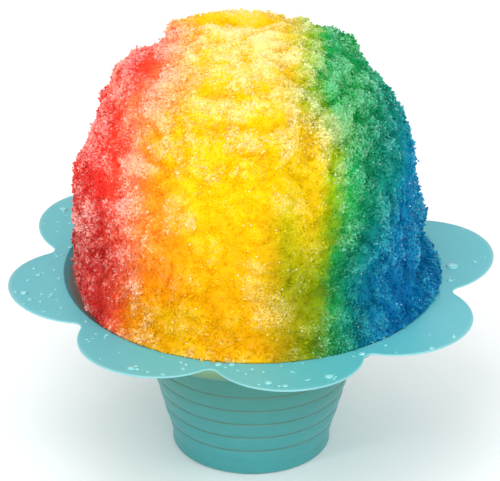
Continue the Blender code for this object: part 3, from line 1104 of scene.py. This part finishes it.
# %% [markdown]
# The cup's plastic
# It is thin turquoise plastic that lets some light through. The stem is darker than the brim as
# painted shade, most of all at the neck under the tray, where the ice behind also makes it greener.
# The coloured ice tints the sloping wall of the tray with painted light, its colour reflected inside
# the tray and shining through the wall, which also glows faintly in place of the light that would
# come through. The bottoms of the grooves look like thin olive lines, and the petals' edge has a
# pale painted highlight. All of it is mixed by the point's height, in millimetres, with soft steps
# like those of the syrups. A faint mottle keeps it from looking like paint.

# %% The grooves' lines
LINE_WIDTH = (0.15, 0.45, 1.0, 0.0)
LINE_SHARE = 0.6
LINES_FADE = 0.8, 1.0


def groove_lines(finish, height):
    """1 at the bottom of each groove and 0 beside it."""
    pitch = GROOVE_PITCH / MM
    lowest = LOWEST_GROOVE / MM
    highest = lowest + (GROOVES - 1) * pitch
    near, far = LINES_FADE
    along = (height - lowest) * (1 / pitch) + 0.5
    off_groove = finish.node("ShaderNodeMath", {"operation": "FRACT"}, {0: along}) - 0.5
    distance = finish.node("ShaderNodeMath", {"operation": "ABSOLUTE"}, {0: off_groove}) * pitch
    from_lowest = finish.smooth(height, lowest - far, lowest - near)
    to_highest = finish.smooth(height, highest + near, highest + far, 1.0, 0.0)
    return finish.smooth(distance, *LINE_WIDTH) * from_lowest * to_highest


# %% The cup's plastic
PLASTIC = linear(90, 180, 188)
# painted shade: the stem's colours are darker than the brim's, darkest at the neck under the tray
PLASTIC_FOOT_SHADED = linear(62, 148, 150)
PLASTIC_NECK_SHADED = linear(54, 124, 112)
# painted highlight: the petals' thin edge is painted paler
PLASTIC_EDGE_HIGHLIGHT = linear(158, 192, 192)
GROOVE_LINE = linear(82, 104, 78)
NO_LIGHT = linear(0, 0, 0)
TO_NECK_SHADE, TO_BRIM = (6, 44, 0.0, 1.0), (44, 58.5, 0.0, 1.0)
TRAY_FROM, TRAY_UP_TO = (45.2, 48, 0.0, 1.0), (56.6, 58.0, 1.0, 0.0)
# painted light: the tray's wall glows faintly with the ice's colour
TRAY_GLOW = 0.2
TRAY_GLOW_TINT = 0.3
EDGE_HIGHLIGHT_SHARE = 0.35
MOTTLE, MOTTLE_SWAY = 4 * MM, 0.1
PATCH, ROUGH_SWAY, SMOOTHEST = 9 * MM, 0.12, 0.3


def plastic_finish():
    """Turquoise plastic; painted shade on the stem, painted light in the tray, painted edge highlight."""
    finish = Finish("turquoise plastic")
    height = finish.coordinate(2)
    _, behind = syrup(finish)
    # painted shade: the stem darker than the brim, darkest at the neck
    stem = finish.mix(PLASTIC_FOOT_SHADED, PLASTIC_NECK_SHADED, finish.smooth(height, *TO_NECK_SHADE))
    body = finish.mix(stem, PLASTIC, finish.smooth(height, *TO_BRIM))
    in_tray = finish.smooth(height, *TRAY_FROM) * finish.smooth(height, *TRAY_UP_TO)
    # painted light: the ice's colour reflected inside the tray and shining through its wall
    tinted = finish.mix(body, behind, in_tray, "MULTIPLY")
    tray_glow_colour = finish.mix(tinted, behind, TRAY_GLOW_TINT)
    grooved = finish.mix(tinted, GROOVE_LINE, groove_lines(finish, height) * LINE_SHARE)
    mottle = finish.grain(MOTTLE, 4.0) * MOTTLE_SWAY + (1 - MOTTLE_SWAY / 2)
    tone = finish.node("ShaderNodeCombineColor", inputs={0: mottle, 1: mottle, 2: mottle})
    mottled = finish.mix(grooved, tone, 1.0, "MULTIPLY")
    return finish.surface({
        # painted highlight on the petals' edge
        "Base Color": finish.mix(mottled, PLASTIC_EDGE_HIGHLIGHT, finish.kept("edge") * EDGE_HIGHLIGHT_SHARE),
        "Emission Color": finish.mix(NO_LIGHT, tray_glow_colour, in_tray),
        "Emission Strength": TRAY_GLOW,
        "Roughness": finish.grain(PATCH, 3.0) * ROUGH_SWAY + SMOOTHEST,
        "IOR": 1.49,
        **soft(0.25, 1.2 * MM),
    })


new_piece("flower_cup_shell", cup_mesh(), plastic_finish(), "flower_cup")

# %% [markdown]
# The droplets
# Melted ice has splashed onto the petals. The drops that catch the eye are set one by one; many
# smaller ones are scattered at random, more of them at the left, and none of them under the ice or
# over a petal's edge. Each is a low glossy dome with a flat base, sunk a hair into the plastic and
# tinted like it, because a drop shows what lies under it.

# %% The droplets
DROPS = (
    (-60, 39, 1.3),
    (-57, 14, 0.8),
    (-70, -16, 1.3),
    (-68, -20, 0.8),
    (-66, -4, 0.8),
    (-36, -62, 1.2),
    (-10, -59, 1.2),
    (-6, -59, 1.0),
    (5, -70, 1.2),
    (10, -72, 1.0),
    (23, -66, 1.5),
    (33, -52, 1.2),
    (61, -42, 0.9),
    (54, -49, 1.0),
    (62, 3, 2.0),
    (61, -6, 0.9),
)
SMALL_DROPS = 110
SMALL_DROP = (0.4 * MM, 0.75 * MM)
RIM_MARGIN, EDGE_MARGIN = 1.5 * MM, 0.8 * MM
RIGHT_CHANCE = 0.25
DROP_SEED = 31


def drop_places():
    """Middles and radii of all drops, in metres."""
    drops = [(x * MM, y * MM, radius * MM) for x, y, radius in DROPS]
    draw = np.random.default_rng(DROP_SEED)
    while len(drops) < len(DROPS) + SMALL_DROPS:
        turn = draw.uniform(0, 2 * math.pi)
        radius = draw.uniform(*SMALL_DROP)
        away = draw.uniform(TRAY_RIM + RIM_MARGIN, PETAL_TIP)
        leftness = 0.5 - 0.5 * math.cos(turn)
        chance = RIGHT_CHANCE + (1 - RIGHT_CHANCE) * leftness
        if away < petal_reach(turn) - radius - EDGE_MARGIN and draw.uniform() < chance:
            drops.append((away * math.cos(turn), away * math.sin(turn), radius))
    return drops


# %% The droplets' mesh and finish
WATER_TINT = linear(126, 202, 208)
DROP_HEIGHT = 0.45
DROP_SUNK = 0.05 * MM
DROP_RINGS, DROP_SIDES = 4, 12


def dome_points(x, y, radius):
    """Rings of points from a drop's base upwards, and its top."""
    base = BRIM + lift_at(math.hypot(x, y)) - DROP_SUNK
    points = []
    for ring in range(DROP_RINGS):
        rise = math.pi / 2 * ring / DROP_RINGS
        reach = radius * math.cos(rise)
        height = base + radius * DROP_HEIGHT * math.sin(rise)
        for side in range(DROP_SIDES):
            turn = 2 * math.pi * side / DROP_SIDES
            points.append((x + reach * math.cos(turn), y + reach * math.sin(turn), height))
    return points + [(x, y, base + radius * DROP_HEIGHT)]


def dome_faces(start):
    """A flat base, four-sided faces between the rings, and triangles round the top."""
    top = start + DROP_RINGS * DROP_SIDES
    faces = [[start + side for side in reversed(range(DROP_SIDES))]]
    for ring in range(DROP_RINGS):
        for side in range(DROP_SIDES):
            here = start + ring * DROP_SIDES + side
            after = start + ring * DROP_SIDES + (side + 1) % DROP_SIDES
            if ring < DROP_RINGS - 1:
                faces.append((here, after, after + DROP_SIDES, here + DROP_SIDES))
            else:
                faces.append((here, after, top))
    return faces


def drops_mesh():
    """All drops as one mesh."""
    points, faces = [], []
    for x, y, radius in drop_places():
        faces += dome_faces(len(points))
        points += dome_points(x, y, radius)
    mesh = bpy.data.meshes.new("drops")
    mesh.from_pydata(points, [], faces)
    mesh.shade_smooth()
    print(len(DROPS) + SMALL_DROPS, "drops,", len(mesh.polygons), "faces")
    return mesh


def drop_finish():
    """Glossy water with the plastic's tint."""
    finish = Finish("melted ice")
    return finish.surface({"Base Color": WATER_TINT, "Roughness": 0.03, "IOR": 1.33, "Coat Weight": 1.0})


new_piece("water_droplets", drops_mesh(), drop_finish(), "flower_cup")

# %% [markdown]
# The floor
# The photograph's ground is plain white. A large, nearly white floor a hair under the foot gives the
# same ground and a soft shadow. It belongs to the picture and not to the dessert.

# %% The floor
FLOOR_COLOUR = (0.97, 0.97, 0.97, 1)
FLOOR_SIZE = 6
FLOOR_GAP = 0.2 * MM


def floor():
    """A square floor round the foot."""
    bpy.ops.mesh.primitive_plane_add(size=FLOOR_SIZE, location=(0, 0, -FLOOR_GAP))
    made = bpy.context.object
    made.name = "floor"
    finish = Finish("pale floor")
    made.data.materials.append(finish.surface({"Base Color": FLOOR_COLOUR, "Roughness": 0.9}))


floor()
